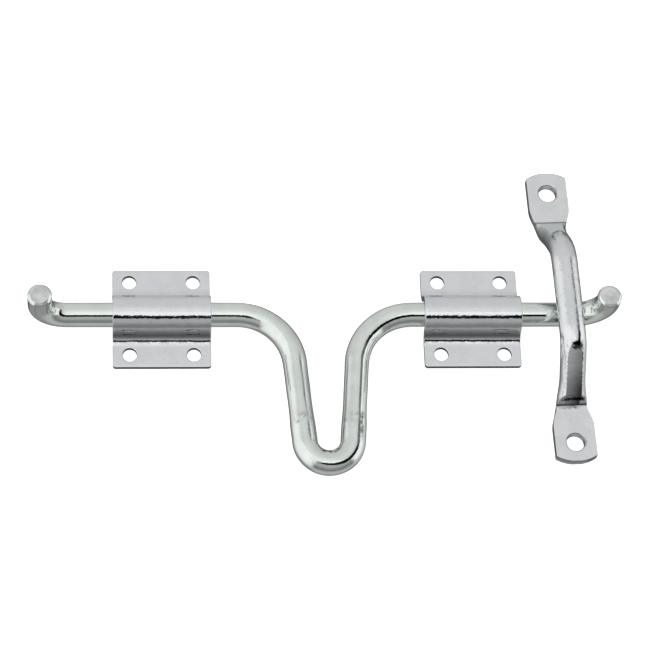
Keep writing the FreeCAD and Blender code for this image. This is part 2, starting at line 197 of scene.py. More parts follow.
def bar_trail():
    """The bar's centre line from the left tip to the right one, and the X of the handle's middle."""
    reach = (bolt_high.x - bolt_low.x) / 2 - BAR_RADIUS
    middle = (bolt_high.x + bolt_low.x) / 2
    arms = SHOULDER_RADIUS + GRIP_RADIUS
    leg = (arms * math.sin(LEG_SPLAY) + GRIP_DROP - SHOULDER_RADIUS) / math.cos(LEG_SPLAY)
    shoulder_x = arms * math.cos(LEG_SPLAY) + leg * math.sin(LEG_SPLAY)
    quarter = math.pi / 2
    left_run = reach - HOOK_BENDS[0] - shoulder_x
    right_run = reach - HOOK_BENDS[1] - shoulder_x
    start = Vector((middle - reach, 0, BAR_HEIGHT + HOOK_RISES[0]))
    legs = [
        HOOK_RISES[0] - HOOK_BENDS[0],
        (HOOK_BENDS[0], quarter, -Y_AXIS),
        left_run,
        (SHOULDER_RADIUS, quarter - LEG_SPLAY, -Z_AXIS),
        leg,
        (GRIP_RADIUS, math.pi - 2 * LEG_SPLAY, Z_AXIS),
        leg,
        (SHOULDER_RADIUS, quarter - LEG_SPLAY, -Z_AXIS),
        right_run,
        (HOOK_BENDS[1], quarter, -Y_AXIS),
        HOOK_RISES[1] - HOOK_BENDS[1],
    ]
    return walk(start, -Z_AXIS, legs), middle


def bar_radius(point):
    """The bar's radius at a place on its centre line: thinner where drawn, fuller where pressed."""
    pressed = smooth_step(*PRESSED, point.y)
    drawn = smooth_step(*DRAWN, point.y)
    waist = bell(point.y - WAIST, 4 * MM)
    return BAR_RADIUS * (1 + 0.05 * pressed - 0.02 * drawn - 0.012 * waist)


def bend_strain(point, middle):
    """How much the cold bending has roughened the bar at a place, from 0 to 1."""
    along = abs(point.x - middle)
    loop = smooth_step(52 * MM, 38 * MM, along)
    straight = smooth_step(-26 * MM, -36 * MM, point.y) * smooth_step(-68 * MM, -58 * MM, point.y)
    hook = smooth_step(126 * MM, 138 * MM, along) * 0.5
    return max(loop * (1 - 0.85 * straight), hook)


def bar_shade(place, normal, middle):
    """Painted shade and dark reflections: blotches where the grip's die ended, a streak on the right leg,
    a rim inside the grip's bend.
    """
    # Painted dark blotches where the grip's die ended.
    blot = smooth_step(0.05, 0.35, ripple(place, 2.4 * MM, 41.0))
    level = 0.35 * bell(place.y - SHADE_BLOTS, 3.0 * MM) * blot
    # A painted dark rim inside the grip's bend.
    if place.y < WAIST:
        inside = smooth_step(0.40, 0.58, normal.y) * smooth_step(9 * MM, 5 * MM, abs(place.x - middle))
        level = max(level, 0.9 * inside * smooth_step(-0.3, 0.0, ripple(place, 2.2 * MM, 47.0)))
    # Painted dark streaks along the sides of the legs.
    if place.x > middle:
        streak = bell(normal.x - 0.55, 0.16) * smooth_step(0.0, 0.3, normal.z)
        reach = smooth_step(-54 * MM, -58 * MM, place.y) * smooth_step(-74 * MM, -66 * MM, place.y)
        patchy = smooth_step(-0.35, 0.0, ripple(place, 2.0 * MM, 44.0))
        level = max(level, 0.9 * streak * reach * patchy)
        inner = bell(normal.x + 0.75, 0.14)
        level = max(level, 0.5 * inner * bell(place.y - SHADE_BLOTS + 4 * MM, 4.0 * MM) * blot)
    else:
        streak = bell(normal.x + 0.5, 0.16)
        level = max(level, 0.75 * streak * bell(place.y - SHADE_BLOTS + 2 * MM, 2.0 * MM) * blot)
    return level


def spokes(side, heading):
    """Unit vectors all round a heading, the first of them towards the side."""
    across = side.normalized()
    up = heading.cross(across).normalized()
    angles = [2 * math.pi * number / BAR_SIDES for number in range(BAR_SIDES)]
    return [across * math.cos(angle) + up * math.sin(angle) for angle in angles]


def make_bar():
    """The bar, swept along its centre line, with chamfered sawn tips."""
    trail, middle = bar_trail()
    bm = bmesh.new()
    strain = bm.verts.layers.float.new("strain")

    def ring_at(point, heading, side, radius, lift=0.0):
        worked = bend_strain(point, middle)
        ring = []
        for out in spokes(side, heading):
            wave = waves(point + out * radius, BAR_WAVES) * mix(*WAVE_SHARES, worked)
            vertex = bm.verts.new(point + heading * lift + out * (radius + wave))
            vertex[strain] = worked
            ring.append(vertex)
        return ring

    def tip(point, heading, side, inward):
        """Rings from a sawn end's middle, over its chamfer, to the round bar; inward is 1 or -1."""
        rings = []
        for number in reversed(range(TIP_RINGS)):
            share = number / TIP_RINGS
            radius = (BAR_RADIUS - TIP_CHAMFER) * (1 - share)
            ring = []
            for out in spokes(side, heading):
                place = point + out * radius
                wave = SAW_MARK * ripple(place, 2.4 * MM, 5.0) * smooth_step(0, 0.2, share)
                ring.append(bm.verts.new(place - heading * inward * wave))
            rings.append(ring)
        for drop, lift in TIP_CORNERS:
            radius = BAR_RADIUS - drop * TIP_CHAMFER
            rings.append(ring_at(point, heading, side, radius, inward * lift * TIP_CHAMFER))
        centre = bm.verts.new(point)
        for number in range(BAR_SIDES):
            bm.faces.new((rings[0][number], rings[0][(number + 1) % BAR_SIDES], centre))
        return rings

    rings = []
    side = Y_AXIS.copy()
    last_heading = trail[0][1]
    last = len(trail) - 1
    for index, (point, heading, _) in enumerate(trail):
        side = last_heading.rotation_difference(heading) @ side
        last_heading = heading
        if index == 0:
            rings += tip(point, heading, side, 1)
        elif index == last:
            rings += reversed(tip(point, heading, side, -1))
        elif 1 < index < last - 1:
            rings.append(ring_at(point, heading, side, bar_radius(point)))
    skin(bm, rings)
    made = mesh_object("bolt_bar", bm, 28)
    tip_height = BAR_HEIGHT + min(HOOK_RISES) - 0.32 * MM
    for face in made.data.polygons:
        if abs(face.normal.z) > 0.9 and face.center.z > tip_height:
            face.material_index = TIP_MATERIAL
    paint(made, "shade", lambda place, normal: bar_shade(place, normal, middle))
    return made


# ---------------------------------------------------------------- the guides

GUIDE_SHEET = 2.5 * MM
CROWN_RADIUS = 10.25 * MM
FOOT_RADIUS = 6.0 * MM
CORNER_RADIUS = 1.5 * MM
GUIDE_HOLE_RADIUS = 3.75 * MM
EDGE_ROUND = 0.3 * MM
EDGE_STEPS = 4
SHEET_ROW = 0.8 * MM
SHEET_COLUMN = 1.1 * MM
HOLE_POINTS = 40
CORNER_STEPS = 6


def mount(name):
    """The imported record's mount of that name."""
    return next(m for m in frame["record"]["mounts"] if m["name"] == name)


def foot_centre(top):
    """Where a foot's arc is centred: how far from the guide's middle, and how high."""
    height = GUIDE_SHEET + FOOT_RADIUS
    rise = height - (top - CROWN_RADIUS)
    return math.sqrt((CROWN_RADIUS + FOOT_RADIUS) ** 2 - rise ** 2), height


def hat_section(half_depth, top):
    """The sheet's middle line over one half: its length, its flange's start and a place function."""
    middle = GUIDE_SHEET / 2
    crown = CROWN_RADIUS - middle
    foot = FOOT_RADIUS + middle
    height = top - CROWN_RADIUS
    foot_y, foot_z = foot_centre(top)
    swing = math.pi / 2 - math.atan2(foot_z - height, foot_y)
    over = crown * swing
    under = over + foot * swing
    half_length = under + half_depth - foot_y

    def place(distance):
        """The middle line's point and outward normal at a distance along the section."""
        sign = math.copysign(1, distance)
        along = abs(distance)
        if along <= over:
            angle = along / crown
            y, z = crown * math.sin(angle), height + crown * math.cos(angle)
        elif along <= under:
            angle = (under - along) / foot
            y, z = foot_y - foot * math.sin(angle), foot_z - foot * math.cos(angle)
        else:
            angle = 0.0
            y, z = foot_y + along - under, middle
        return Vector((0, sign * y, z)), Vector((0, sign * math.sin(angle), math.cos(angle)))

    return half_length, under - foot_y, place


def rounded_outline(half_x, half_s, radius, inset, step):
    """Points round a rectangle whose corners are rounded and drawn back by inset."""
    points = []
    corners = [(1, 1), (-1, 1), (-1, -1), (1, -1)]
    reach = max(radius - inset, 0.05 * MM)

    def on_corner(index, angle):
        sign_x, sign_s = corners[index % 4]
        return (sign_x * (half_x - radius) + reach * math.cos(angle),
                sign_s * (half_s - radius) + reach * math.sin(angle))

    for index in range(4):
        start = index * math.pi / 2
        turns = [math.pi / 2 * number / CORNER_STEPS for number in range(CORNER_STEPS + 1)]
        points += [on_corner(index, start + turn) for turn in turns]
        from_x, from_s = points[-1]
        to_x, to_s = on_corner(index + 1, start + math.pi / 2)
        count = round(2 * (half_s if index % 2 else half_x) / step)
        for number in range(1, count):
            share = number / count
            points.append((mix(from_x, to_x, share), mix(from_s, to_s, share)))
    return points


def hole_outline(centre, radius):
    """Points round a hole of the blank."""
    x, s = centre
    angles = [2 * math.pi * number / HOLE_POINTS for number in range(HOLE_POINTS)]
    return [(x + radius * math.cos(angle), s + radius * math.sin(angle)) for angle in angles]


def blank_loops(half_x, half_s, holes, inset):
    """The blank's outline and its hole rims, all drawn back from the cut by inset."""
    outline = rounded_outline(half_x, half_s, CORNER_RADIUS, inset, SHEET_COLUMN)
    return [outline] + [hole_outline(hole, GUIDE_HOLE_RADIUS + inset) for hole in holes]


def flat_blank(half_x, half_s, holes):
    """The blank inside its rolled edges: its points, the loops they start with and its triangles."""
    loops = blank_loops(half_x, half_s, holes, EDGE_ROUND)
    points = [Vector(point) for loop in loops for point in loop]
    borders = []
    first = 0
    for loop in loops:
        borders += [(first + n, first + (n + 1) % len(loop)) for n in range(len(loop))]
        first += len(loop)

    def from_holes(x, s):
        return min(math.hypot(x - hole[0], s - hole[1]) for hole in holes)

    rows = int(2 * half_s / SHEET_ROW)
    columns = int(2 * half_x / SHEET_COLUMN)
    clear = 0.6 * SHEET_COLUMN + EDGE_ROUND
    for row in range(1, rows):
        s = -half_s + 2 * half_s * row / rows
        for column in range(1, columns):
            x = -half_x + 2 * half_x * column / columns
            from_edge = (half_x - abs(x), half_s - abs(s))
            if min(from_edge) < clear or max(from_edge) < CORNER_RADIUS:
                continue
            if from_holes(x, s) >= GUIDE_HOLE_RADIUS + clear:
                points.append(Vector((x, s)))
    flat, _, triangles, _, _, _ = geometry.delaunay_2d_cdt(points, borders, [], 0, 1e-9)

    def on_blank(triangle):
        x = sum(flat[n].x for n in triangle) / 3
        s = sum(flat[n].y for n in triangle) / 3
        if from_holes(x, s) < GUIDE_HOLE_RADIUS + 0.9 * EDGE_ROUND:
            return False
        past_x, past_s = abs(x) - half_x + CORNER_RADIUS, abs(s) - half_s + CORNER_RADIUS
        if past_x > 0 and past_s > 0:
            return math.hypot(past_x, past_s) < CORNER_RADIUS - EDGE_ROUND
        return True

    return flat, loops, list(filter(on_blank, triangles))


def rolled_edge():
    """The sheet's rounded edge, front to back: how far in from the cut and how deep, from 1 to -1."""
    angles = [math.pi / 2 * step / EDGE_STEPS for step in range(1, EDGE_STEPS + 1)]
    corner = 2 * EDGE_ROUND / GUIDE_SHEET
    front = [(EDGE_ROUND * (1 - math.sin(angle)), 1 - (1 - math.cos(angle)) * corner) for angle in angles]
    return front + [(inset, -depth) for inset, depth in reversed(front)]


def guide_shade(place, normal, top):
    """Painted shade: on the sheared edges and hole walls, which are also matte bare metal, in the hollow
    of the foot and on its crease.
    """
    # Painted shade on the edge faces and hole walls.
    if place.z < GUIDE_SHEET - 0.15 * MM and abs(normal.z) < 0.8:
        return 0.92
    foot_y, _ = foot_centre(top)
    away = abs(place.y)
    hollow = smooth_step(CROWN_RADIUS - 0.85 * MM, CROWN_RADIUS + 0.1 * MM, away)
    hollow *= smooth_step(foot_y - 3.3 * MM, foot_y - 4.3 * MM, away)
    if place.y > 0:
        return 0.6 * hollow
    # A painted dark line along the front crease, standing in for a reflection.
    crease = bell(away - foot_y + 2.2 * MM, 0.35 * MM)
    speckle = smooth_step(-0.25, 0.15, ripple(place, 1.6 * MM, 51.0))
    return max(0.6 * hollow, 0.75 * crease * speckle)


def make_guide(node, seed):
    """A pressed guide: a flat blank with rounded edges and holes, bent over the hat section."""
    low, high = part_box(node)
    middle_x = (low.x + high.x) / 2
    half_x = (high.x - low.x) / 2
    half_s, flange_start, place = hat_section(high.y, high.z)
    pattern = mount(node + "_screws")["dims"]
    hole_x = pattern["spacing_x_mm"] / 2 * MM
    hole_s = pattern["spacing_y_mm"] / 2 * MM + flange_start
    holes = [(across * hole_x, along * hole_s) for across in (-1, 1) for along in (-1, 1)]
    flat, loops, triangles = flat_blank(half_x, half_s, holes)
    sheet_waves = [(0.05 * MM, 7 * MM, seed), (0.022 * MM, 2.6 * MM, seed + 4)]

    def bend(x, s, depth):
        """A point of the blank in place: depth runs from -1 at the back to 1 at the front."""
        spot, out = place(s)
        spot = spot + Vector((middle_x + x, 0, 0))
        wave = waves(Vector((x, s, 0)), sheet_waves)
        flat_back = smooth_step(0.3 * MM, 1.5 * MM, spot.z) if depth < 0 else 1.0
        return spot + out * (depth * GUIDE_SHEET / 2 + wave * flat_back)

    bm = bmesh.new()
    front = [bm.verts.new(bend(p.x, p.y, 1)) for p in flat]
    back = [bm.verts.new(bend(p.x, p.y, -1)) for p in flat]
    for triangle in triangles:
        bm.faces.new([front[n] for n in triangle])
        bm.faces.new([back[n] for n in reversed(triangle)])
    edge = [(blank_loops(half_x, half_s, holes, inset), depth) for inset, depth in rolled_edge()]
    first = 0
    for number, loop in enumerate(loops):
        after = first + len(loop)
        rolled = [[bm.verts.new(bend(x, s, depth)) for x, s in rims[number]] for rims, depth in edge]
        skin(bm, [front[first:after]] + rolled + [back[first:after]])
        first = after
    loose = [v for v in bm.verts if not v.link_faces]
    bmesh.ops.delete(bm, geom=loose, context="VERTS")
    made = mesh_object(node + "_sheet", bm, 50)
    paint(made, "shade", lambda place, normal: guide_shade(place, normal, high.z))
    return made


# ---------------------------------------------------------------- the keeper

KEEPER_RADIUS = 6.75 * MM
ARCH_HEIGHT = 29.0 * MM
ARCH_BEND = 18.0 * MM
NEAR_CORNER = 25.4 * MM
FAR_CORNER = 26.4 * MM
NEAR_SLOPE = math.radians(44)
FAR_SLOPE = math.radians(48)
PAD_THICKNESS = 5.0 * MM
PAD_HALF_WIDTH = 10.7 * MM
NECK_HALF_WIDTH = 8.0 * MM
PAD_ENDS = (82.3 * MM, 83.9 * MM)
KEEPER_STEP = 0.4 * MM
DIE_CORNER = 0.22 * MM
ARCH_MARK = 4.9 * MM
ARCH_DEPTH = 6.0 * MM
PAD_END_RADIUS = 20.0 * MM
KEEPER_HOLE_RADIUS = 4.75 * MM
KEEPER_SIDES = 112
FOOT_BEND = 9.0 * MM
KEEPER_WAVES = [(0.10 * MM, 11 * MM, 12.0), (0.05 * MM, 4 * MM, 15.0)]
PAD_SHAPE = 0.42  # the power that squares a pad's section: 1 is round, 0 a rectangle
PAD_RIM = 0.7 * MM
RIM_STEPS = 5
CUTTER_SIDES = 56

# The dies' steps above each pad, from the fold inward, as (distance from the middle in millimetres,
# slope in degrees).
NEAR_STEPS = [(51.3, 70), (50.2, 84), (49.63, 44)]
FAR_STEPS = [(54.2, 60), (53.4, 49), (41.2, 82)]


def keeper_limit(x, y):
    """How high the pads' dies let the metal stand; the far one's last step has an arched edge."""
    steps = NEAR_STEPS
    if y > 0:
        arched = ARCH_DEPTH * (1 - math.sqrt(max(1 - (x / ARCH_MARK) ** 2, 0))) / MM
        steps = FAR_STEPS[:2] + [(FAR_STEPS[2][0] - arched, FAR_STEPS[2][1])]
    ends = [start for start, _ in steps[1:]] + [0]
    height = PAD_THICKNESS
    for (start, slope), stop in zip(steps, ends):
        run = min(max(start * MM - abs(y), 0), (start - stop) * MM)
        height += run * math.tan(math.radians(slope))
    return height


def keeper_half_width(along):
    """Half the keeper's width at a distance from its middle."""
    neck = smooth_step(40 * MM, 51 * MM, along)
    flare = smooth_step(50 * MM, 63 * MM, along)
    width = mix(KEEPER_RADIUS, NECK_HALF_WIDTH, neck)
    return mix(width, PAD_HALF_WIDTH, flare)


def riser(corner, slope):
    """How far out a riser's foot bend ends, its straight length, and how far out its top bend starts."""
    rise = ARCH_HEIGHT - PAD_THICKNESS / 2
    foot_set = FOOT_BEND * math.tan(slope / 2)
    top_set = ARCH_BEND * math.tan(slope / 2)
    foot = corner + rise / math.tan(slope) + foot_set
    return foot, rise / math.sin(slope) - foot_set - top_set, corner - top_set


def keeper_trail():
    """The keeper's centre line in its own YZ plane, from the near pad's end to the far one's."""
    near_foot, near_riser, near_arch = riser(NEAR_CORNER, NEAR_SLOPE)
    far_foot, far_riser, far_arch = riser(FAR_CORNER, FAR_SLOPE)
    legs = [
        PAD_ENDS[0] - near_foot,
        (FOOT_BEND, NEAR_SLOPE, X_AXIS),
        near_riser,
        (ARCH_BEND, NEAR_SLOPE, -X_AXIS),
        near_arch + far_arch,
        (ARCH_BEND, FAR_SLOPE, -X_AXIS),
        far_riser,
        (FOOT_BEND, FAR_SLOPE, X_AXIS),
        PAD_ENDS[1] - far_foot,
    ]
    return walk(Vector((0, -PAD_ENDS[0], PAD_THICKNESS / 2)), Y_AXIS, legs, KEEPER_STEP)


def cut_hole(piece, centre):
    """Cuts a round hole with rolled rims through a pad."""
    angles = [math.pi / 2 * number / RIM_STEPS for number in range(1, RIM_STEPS + 1)]
    wide = KEEPER_HOLE_RADIUS + 2 * PAD_RIM
    lower = [(wide, -4 * MM), (KEEPER_HOLE_RADIUS + PAD_RIM + 0.01 * MM, -0.02 * MM)]
    lower += [(KEEPER_HOLE_RADIUS + PAD_RIM * (1 - math.sin(angle)), PAD_RIM * (1 - math.cos(angle)))
              for angle in angles]
    profile = lower + [(radius, PAD_THICKNESS - height) for radius, height in reversed(lower)]
    bm = bmesh.new()
    rings = []
    for radius, height in profile:
        turns = [2 * math.pi * number / CUTTER_SIDES for number in range(CUTTER_SIDES)]
        spots = [Vector((radius * math.cos(turn), radius * math.sin(turn), height)) for turn in turns]
        rings.append([bm.verts.new(centre + spot) for spot in spots])
    skin(bm, rings)
    bm.faces.new(rings[0][::-1])
    bm.faces.new(rings[-1])
    cutter = mesh_object("cutter", bm)
    modifier = piece.modifiers.new("hole", "BOOLEAN")
    modifier.operation = "DIFFERENCE"
    modifier.solver = "EXACT"
    modifier.object = cutter
    bpy.context.view_layer.update()
    shaped = piece.evaluated_get(bpy.context.evaluated_depsgraph_get())
    cut = bpy.data.meshes.new_from_object(shaped)
    piece.modifiers.clear()
    piece.data = cut
    cut.shade_smooth()
    cut.set_sharp_from_angle(angle=math.radians(50))
    bpy.data.objects.remove(cutter)


def near_riser_shade(place, normal, inward, speckle):
    """Painted shade and reflections on the near riser, inward from its fold: the wall, the flat, its
    edges and a black patch.
    """
    side = abs(place.x)
    wall = smooth_step(2.4 * MM, 1.7 * MM, inward)
    level = wall * mix(0.15, 0.45, smooth_step(6 * MM, 13 * MM, place.z))
    down = smooth_step(22 * MM, 3 * MM, inward)
    across = smooth_step(-4.4 * MM, 4.6 * MM, place.x)
    below_arch = smooth_step(26 * MM, 22 * MM, inward)
    flat = smooth_step(4.4 * MM, 3.6 * MM, side) * below_arch
    level = max(level, flat * (0.5 * across + 0.48 * down * down))
    edge, strength = (3.9 * MM, 0.95) if place.x > 0 else (4.1 * MM, 0.35)
    on_riser = below_arch * smooth_step(1.6 * MM, 2.6 * MM, inward)
    level = max(level, strength * bell(side - edge, 0.42 * MM) * on_riser * speckle)
    # A painted black patch, standing in for a dark reflection near the top of the riser.
    patch = math.hypot((place.x - 1.1 * MM) / (3.1 * MM), (place.y + 29.3 * MM) / (2.3 * MM))
    patch += 0.45 * ripple(place, 1.7 * MM, 64.0)
    return max(level, 0.97 * smooth_step(1.0, 0.75, patch) * smooth_step(0.3, 0.5, normal.z))


def far_riser_shade(place, inward, speckle):
    """Painted shade on the far riser: beside its fold and along the arched edge at its head."""
    beyond = max(place.y - FAR_STEPS[2][0] * MM + ARCH_DEPTH, 0)
    arch = math.hypot(abs(place.x) / ARCH_MARK, beyond / ARCH_DEPTH)
    line = bell(arch - 0.86, 0.12) * smooth_step(28 * MM, 33 * MM, place.y)
    if place.x < -2 * MM:
        line *= speckle
    return max(0.5 * smooth_step(3.0 * MM, 0.6 * MM, inward), line)


def keeper_shade(place, normal):
    """Painted shade in the folds of the forging, on its risers and round the rims of its pads."""
    if place.z < PAD_THICKNESS - 1.0 * MM:
        return 0.0
    # Painted dark rims round the ends of the pads.
    if abs(place.y) > 58 * MM:
        return 0.6 * smooth_step(0.25, 0.5, min(normal.z, math.hypot(normal.x, normal.y)))
    steps = NEAR_STEPS if place.y < 0 else FAR_STEPS
    inward = steps[0][0] * MM - abs(place.y)
    # A painted dark line along each fold.
    level = 0.97 * bell(inward - 0.1 * MM, 0.42 * MM)
    if inward <= 0:
        return level
    speckle = smooth_step(-0.2, 0.1, ripple(place, 1.5 * MM, 61.0))
    if place.y < 0:
        return max(level, near_riser_shade(place, normal, inward, speckle))
    return max(level, far_riser_shade(place, inward, speckle))


def make_keeper():
    """The keeper, swept from a round bar into its pads, then drilled and turned to its place."""
    near = Vector(mount("keeper_screw_near")["pos_m"])
    far = Vector(mount("keeper_screw_far")["pos_m"])
    centre = (near + far) / 2
    turn = math.atan2(-(far - near).x, (far - near).y)
    spacing = (far - near).length / 2
    bm = bmesh.new()
    rings = []
    for point, heading, _ in keeper_trail():
        along = abs(point.y)
        up = X_AXIS.cross(heading)
        width = keeper_half_width(along)
        power = mix(1.0, PAD_SHAPE, smooth_step(48 * MM, 60 * MM, along))
        pad_end = PAD_ENDS[0] if point.y < 0 else PAD_ENDS[1]
        end = smooth_step(pad_end - 14 * MM, pad_end, along)
        ring = []
        for number in range(KEEPER_SIDES):
            angle = 2 * math.pi * (number + 0.5) / KEEPER_SIDES
            x = width * signed_power(math.cos(angle), power)
            tall = KEEPER_RADIUS * signed_power(math.sin(angle), power)
            spot = point + X_AXIS * x + up * tall
            if along > 24 * MM:
                spot.z = soft_min(spot.z, keeper_limit(spot.x, spot.y), DIE_CORNER)
                spot.z = soft_max(spot.z, 0.0, 0.6 * MM) if spot.z < 3 * MM else spot.z
            bulge = PAD_END_RADIUS - math.sqrt(PAD_END_RADIUS ** 2 - x ** 2)
            spot.y -= math.copysign(bulge * end, spot.y)
            if spot.z > 1.2 * MM:
                out = X_AXIS * math.cos(angle) + up * math.sin(angle)
                calm = mix(1.0, 0.35, smooth_step(8 * MM, 20 * MM, spot.y))
                spot += out * waves(spot, KEEPER_WAVES) * calm
            ring.append(bm.verts.new(spot))
        rings.append(ring)
    skin(bm, rings)
    for ring in (rings[0], rings[-1]):
        for number in range(KEEPER_SIDES // 2 - 1):
            other = KEEPER_SIDES - 1 - number
            bm.faces.new((ring[number], ring[number + 1], ring[other - 1], ring[other]))
    bmesh.ops.remove_doubles(bm, verts=bm.verts[:], dist=0.004 * MM)
    keeper = mesh_object("keeper_strap", bm, 50)
    for y in (-spacing, spacing):
        cut_hole(keeper, Vector((0, y, 0)))
    paint(keeper, "shade", keeper_shade)
    keeper.data.transform(Matrix.Translation((centre.x, centre.y, 0)) @ Matrix.Rotation(turn, 4, "Z"))
    return keeper


# ---------------------------------------------------------------- finishes

class Nodes:
    """Short ways to add and join shader nodes."""

    def __init__(self, tree):
        self.tree = tree
        tree.nodes.clear()

    def add(self, kind, inputs=(), **settings):
        node = self.tree.nodes.new("ShaderNode" + kind)
        for name, value in settings.items():
            setattr(node, name, value)
        for name, value in dict(inputs).items():
            if isinstance(value, bpy.types.NodeSocket):
                self.tree.links.new(value, node.inputs[name])
            else:
                node.inputs[name].default_value = value
        return node

    def maths(self, operation, *values):
        node = self.add("Math", operation=operation)
        for index, value in enumerate(values):
            if isinstance(value, bpy.types.NodeSocket):
                self.tree.links.new(value, node.inputs[index])
            else:
                node.inputs[index].default_value = value
        return node.outputs[0]

    def blend(self, factor, first, second):
        """A colour between the first, at 0, and the second, at 1."""
        node = self.add("Mix", {"Factor": factor, "A": first, "B": second}, data_type="RGBA")
        return node.outputs["Result"]

    def between(self, value, low, high, start=0.0, end=1.0):
        """Maps low..high to start..end with a smooth ease."""
        node = self.add("MapRange", {"Value": value, "From Min": low, "From Max": high,
                                     "To Min": start, "To Max": end}, interpolation_type="SMOOTHSTEP")
        return node.outputs["Result"]


# Sizes of the finish's features, as noise scales per metre.
CLOUDS, GRAIN, FLECKS = 130.0, 900.0, 260.0
# The near-black that the painted shade and the small specks darken the zinc towards.
SHADE_AND_SPECK_COLOUR = (0.032, 0.036, 0.029, 1)


def zinc(name, bright, shade, gloss, lump, lump_height, by_strain=False):
    """Zinc-plated steel: a cool grey metal, slightly cloudy, with a faint orange peel and small specks.

    It darkens by the piece's painted "shade". With by_strain the peel is only strong where bending
    worked the bar."""
    material = bpy.data.materials.new(name)
    material.use_nodes = True
    nodes = Nodes(material.node_tree)
    where = nodes.add("TexCoord").outputs["Object"]
    cloud = nodes.add("TexNoise", {"Vector": where, "Scale": CLOUDS, "Detail": 3.0}).outputs["Fac"]
    grain = nodes.add("TexNoise", {"Vector": where, "Scale": GRAIN, "Detail": 2.0}).outputs["Fac"]
    peel = nodes.add("TexNoise", {"Vector": where, "Scale": lump, "Detail": 2.0}).outputs["Fac"]
    fleck = nodes.add("TexVoronoi", {"Vector": where, "Scale": FLECKS}).outputs["Distance"]
    speck = nodes.between(fleck, 0.05, 0.10, 1.0, 0.0)
    tone = nodes.blend(nodes.between(cloud, 0.35, 0.65), (*shade, 1), (*bright, 1))
    # Painted shade from each piece's shade attribute, joined by the small specks.
    shade_and_specks = nodes.add("Attribute", attribute_name="shade").outputs["Fac"]
    shade_and_specks = nodes.maths("MAXIMUM", shade_and_specks, nodes.maths("MULTIPLY", speck, 0.25))
    colour = nodes.blend(shade_and_specks, tone, SHADE_AND_SPECK_COLOUR)
    rough = nodes.between(cloud, 0.3, 0.7, gloss[0], gloss[1])
    peel_height = lump_height
    if by_strain:
        worked = nodes.add("Attribute", attribute_name="strain").outputs["Fac"]
        peel_height = nodes.maths("MULTIPLY_ADD", worked, 0.7 * lump_height, 0.12 * lump_height)
    height = nodes.maths("ADD", nodes.maths("MULTIPLY", peel, peel_height),
                         nodes.maths("MULTIPLY", grain, 0.05 * lump_height))
    bump = nodes.add("Bump", {"Height": height, "Distance": 1.0, "Strength": 1.0})
    shader = nodes.add("BsdfPrincipled", {"Base Color": colour, "Metallic": 1.0, "Roughness": rough,
                                          "Normal": bump.outputs["Normal"]})
    output = nodes.add("OutputMaterial")
    material.node_tree.links.new(shader.outputs[0], output.inputs["Surface"])
    return material


bar_zinc = zinc("bar_zinc", bright=(0.795, 0.84, 0.812), shade=(0.735, 0.785, 0.752),
                gloss=(0.05, 0.09), lump=700.0, lump_height=0.06 * MM, by_strain=True)
tip_zinc = zinc("sawn_zinc", bright=(0.86, 0.87, 0.87), shade=(0.58, 0.60, 0.60),
                gloss=(0.38, 0.55), lump=700.0, lump_height=0.09 * MM)
guide_zinc = zinc("guide_zinc", bright=(0.78, 0.79, 0.82), shade=(0.74, 0.77, 0.77),
                  gloss=(0.06, 0.12), lump=600.0, lump_height=0.07 * MM)
keeper_zinc = zinc("keeper_zinc", bright=(0.79, 0.80, 0.82), shade=(0.74, 0.77, 0.775),
                   gloss=(0.07, 0.13), lump=520.0, lump_height=0.08 * MM)


# ---------------------------------------------------------------- pieces on their bodies

bar = make_bar()
bar.data.materials.append(bar_zinc)
bar.data.materials.append(tip_zinc)
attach(bar, "bolt")
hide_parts("bolt")

for node, seed in (("left_guide", 21.0), ("right_guide", 34.0)):
    guide = make_guide(node, seed)
    guide.data.materials.append(guide_zinc)
    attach(guide, "mounting")
    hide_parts(node)

keeper = make_keeper()
keeper.data.materials.append(keeper_zinc)
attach(keeper, "mounting")
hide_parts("keeper")


# ---------------------------------------------------------------- floor, light and camera

FLOOR_GAP = 0.3 * MM
FLOOR_HALF_SIZE = 6.0


def make_floor():
    """A white sheet under the object that the metal doesn't mirror, so that the tent alone lights it."""
    bm = bmesh.new()
    bmesh.ops.create_grid(bm, x_segments=8, y_segments=8, size=FLOOR_HALF_SIZE)
    floor = mesh_object("floor", bm)
    floor.location = ((cad_low.x + cad_high.x) / 2, (cad_low.y + cad_high.y) / 2, -FLOOR_GAP)
    material = bpy.data.materials.new("floor_paper")
    material.use_nodes = True
    nodes = Nodes(material.node_tree)
    where = nodes.add("TexCoord").outputs["Object"]
    tooth = nodes.add("TexNoise", {"Vector": where, "Scale": 40.0}).outputs["Fac"]
    pale = nodes.blend(tooth, (0.90, 0.90, 0.90, 1), (0.93, 0.93, 0.93, 1))
    paper = nodes.add("BsdfDiffuse", {"Color": pale})
    glow = nodes.add("Emission", {"Color": (1, 1, 1, 1), "Strength": 0.8})
    both = nodes.add("AddShader")
    output = nodes.add("OutputMaterial")
    links = material.node_tree.links
    links.new(paper.outputs[0], both.inputs[0])
    links.new(glow.outputs[0], both.inputs[1])
    links.new(both.outputs[0], output.inputs["Surface"])
    floor.data.materials.append(material)
    floor.visible_glossy = False
    floor.visible_diffuse = False


